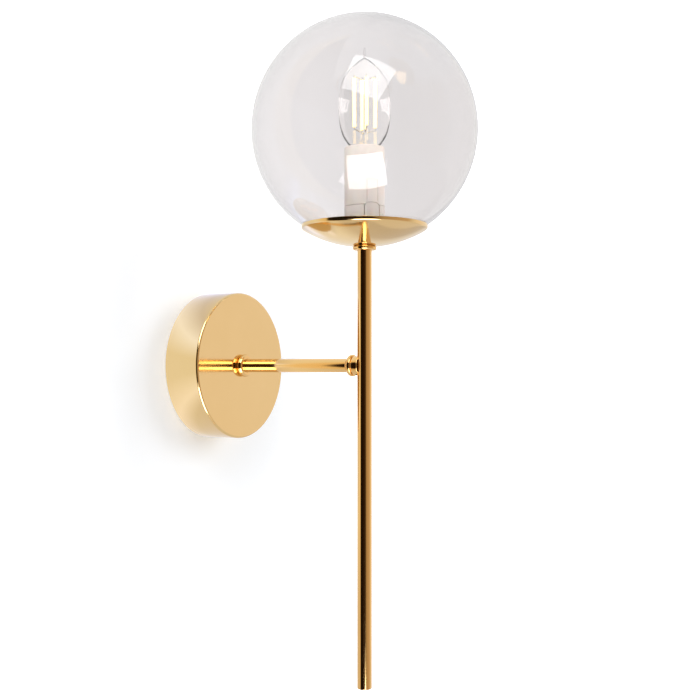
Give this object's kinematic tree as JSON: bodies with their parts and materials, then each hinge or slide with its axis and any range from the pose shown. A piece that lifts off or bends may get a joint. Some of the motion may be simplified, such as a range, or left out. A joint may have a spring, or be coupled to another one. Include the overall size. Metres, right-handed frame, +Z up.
{
  "type": "globe wall sconce",
  "caption": "Wall sconce: round canopy, thin arm, slim vertical rod, shallow dish and clear glass ball round a candle bulb.",
  "frame": {"origin": "centre of the canopy's back rim, on the wall; the arm's axis passes through it", "axes": "+Y into the wall, +Z up along the rod, +X to the right seen from the front"},
  "size_m": [0.159, 0.2135, 0.4722],
  "materials": {
    "brass_finish": "polished plated brass, soft mirror",
    "zinc_steel": "zinc plated, dull",
    "tinned_brass": "tinned",
    "bare_brass": "bare stamped",
    "connector_plastic": "moulded",
    "clear_silicone": "soft, translucent",
    "globe_glass": "clear, thin, smooth",
    "holder_plastic": "moulded, satin",
    "core_plastic": "moulded, matt",
    "bulb_glass": "clear",
    "glowing_filament": "coated, glowing warm white",
    "nickel_wire": "drawn wire",
    "nickelled_cap": "thin pressed metal",
    "black_insulator": "opaque fused foot",
    "solder": "solder dome",
    "brown_insulation": "extruded",
    "blue_insulation": "extruded",
    "green_insulation": "extruded"
  },
  "bodies": {
    "fixture": {"wall_bracket": "zinc_steel", "canopy": "brass_finish", "canopy_screws": "brass_finish", "earth_screw": "zinc_steel", "bracket_earth_tag": "tinned_brass", "terminal_block": "connector_plastic", "terminal_inserts": "bare_brass", "terminal_screws": "zinc_steel", "terminal_block_screw": "zinc_steel", "arm_tube": "brass_finish", "canopy_collar": "brass_finish", "arm_star_washer": "zinc_steel", "arm_earth_tag": "tinned_brass", "arm_locknut": "zinc_steel", "arm_end_ring": "brass_finish", "rod_saddle": "brass_finish", "rod_tube": "brass_finish", "rod_end_plug": "brass_finish", "top_collar": "brass_finish", "dish": "brass_finish", "dish_washer": "zinc_steel", "dish_nut": "zinc_steel", "globe_gasket": "clear_silicone", "holder_cap": "holder_plastic", "holder_sleeve": "holder_plastic", "holder_core": "core_plastic", "holder_screw_shell": "bare_brass", "holder_centre_contact": "bare_brass", "holder_side_contact": "bare_brass", "wire_live": "brown_insulation", "wire_neutral": "blue_insulation", "wire_earth": "green_insulation"},
    "globe_glass": {"globe": "globe_glass"},
    "bulb_foot": {"bulb_insulator": "black_insulator", "bulb_foot_contact": "solder"},
    "bulb": {"bulb_glass": "bulb_glass", "bulb_stem": "bulb_glass", "bulb_filaments": "glowing_filament", "bulb_support_wires": "nickel_wire", "bulb_screw_cap": "nickelled_cap"}
  },
  "joints": [
    {"name": "globe_lift", "type": "slide", "parent": "fixture", "child": "globe_glass", "axis": [0, 0, 1], "range_m": [0, 0.165]},
    {"name": "bulb_rise", "type": "slide", "parent": "fixture", "child": "bulb_foot", "axis": [0, 0, 1], "range_m": [0, 0.0113]},
    {"name": "bulb_turn", "type": "hinge", "parent": "bulb_foot", "child": "bulb", "pos_m": [0, -0.134, 0.13], "axis": [0, 0, 1], "range_deg": [0, 1440]}
  ],
  "couplings": [
    {"joint": "bulb_rise", "follows": "bulb_turn", "m_per_rad": 0.00044882}
  ]
}
